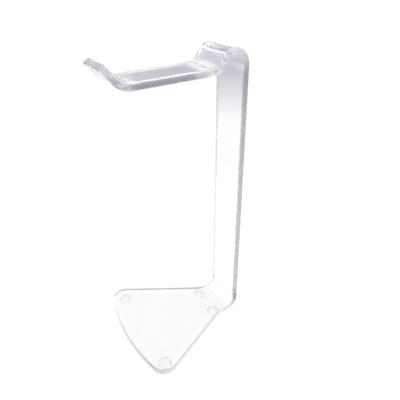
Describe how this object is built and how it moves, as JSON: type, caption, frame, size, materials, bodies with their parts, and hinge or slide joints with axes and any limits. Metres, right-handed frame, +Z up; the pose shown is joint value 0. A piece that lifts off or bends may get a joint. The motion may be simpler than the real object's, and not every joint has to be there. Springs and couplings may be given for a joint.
{
  "type": "headphone stand",
  "caption": "Clear bent-sheet headphone stand: flat rounded-triangle base, tall upright, rounded hump and a forward cradle arm with an upturned lip.",
  "frame": {"origin": "centre of the stand's footprint box, on the floor under the feet", "axes": "+Z up; -Y to the front, where the cradle arm and its lip reach; +Y to the back, where the upright stands; +X to the side"},
  "size_m": [0.1026, 0.1024, 0.2255],
  "materials": {
    "clear_acrylic": "clear, glossy, polished edges",
    "clear_polyurethane": "clear, soft satin"
  },
  "bodies": {
    "root": {"bent_sheet": "clear_acrylic", "foot_front_left": "clear_polyurethane", "foot_front_right": "clear_polyurethane", "foot_rear_left": "clear_polyurethane", "foot_rear_right": "clear_polyurethane"}
  },
  "joints": []
}
